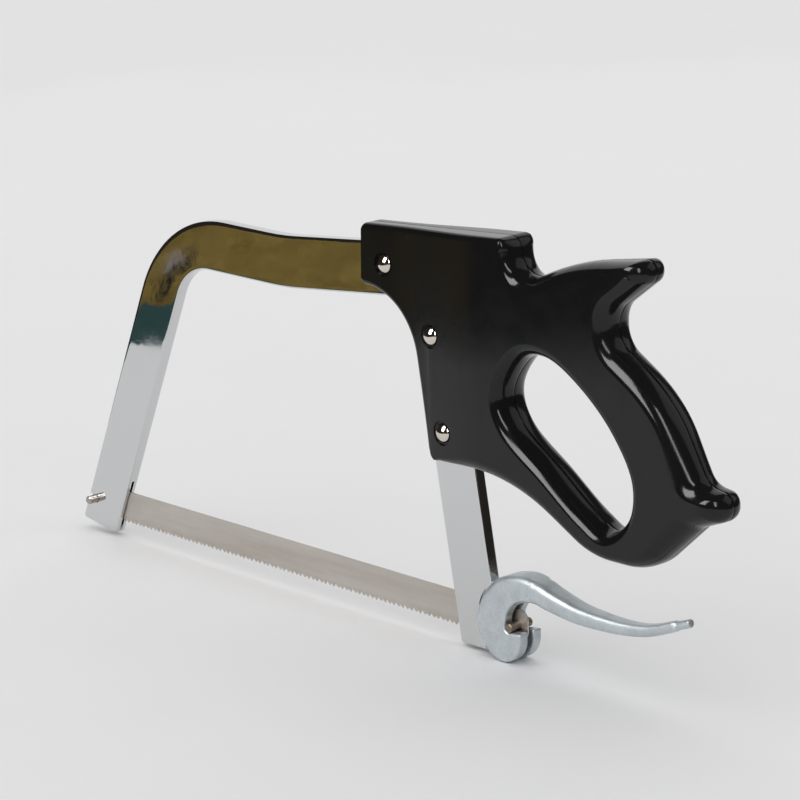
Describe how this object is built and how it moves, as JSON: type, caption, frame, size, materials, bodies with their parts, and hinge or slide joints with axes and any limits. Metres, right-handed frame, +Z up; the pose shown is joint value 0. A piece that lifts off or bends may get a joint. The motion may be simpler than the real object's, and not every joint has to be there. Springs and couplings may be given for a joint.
{
  "type": "butcher saw",
  "caption": "Bow-framed butcher saw: bent chromed flat bar, black two-part moulded handle with a hand hole, toothed blade on cross pins, cam lever that tightens the blade.",
  "frame": {"origin": "middle of the bounding box in plan, at the height of its lowest point, the underside of the lever", "axes": "+X from the nose to the handle along the blade, +Y across the bar, +Z up from the blade to the top bar"},
  "size_m": [0.4326, 0.0212, 0.1952],
  "materials": {
    "bar_chrome": "polished",
    "handle_plastic": "gloss",
    "blade_steel": "brushed",
    "pin_steel": "turned",
    "dull_steel": "turned",
    "lever_zinc": "zinc plated",
    "screw_nickel": "polished"
  },
  "bodies": {
    "frame": {"frame_bar": "bar_chrome", "handle_half_near": "handle_plastic", "handle_half_far": "handle_plastic", "handle_bolt_1": "screw_nickel", "handle_bolt_2": "screw_nickel", "handle_bolt_3": "screw_nickel", "handle_nut_1": "screw_nickel", "handle_nut_2": "screw_nickel", "handle_nut_3": "screw_nickel"},
    "blade": {"blade": "blade_steel", "front_blade_pin": "pin_steel", "rear_blade_pin": "dull_steel"},
    "lever": {"tension_lever": "lever_zinc"}
  },
  "joints": [
    {"name": "blade_slide", "type": "slide", "parent": "frame", "child": "blade", "axis": [-1, 0, 0], "range_m": [0, 0.0042]},
    {"name": "lever_swing", "type": "hinge", "parent": "blade", "child": "lever", "pos_m": [0.0912, 0, 0.01689], "axis": [0, 1, 0], "range_deg": [0, 100]}
  ],
  "couplings": [
    {"joint": "blade_slide", "follows": "lever_swing", "m_per_rad": 0.0024}
  ]
}
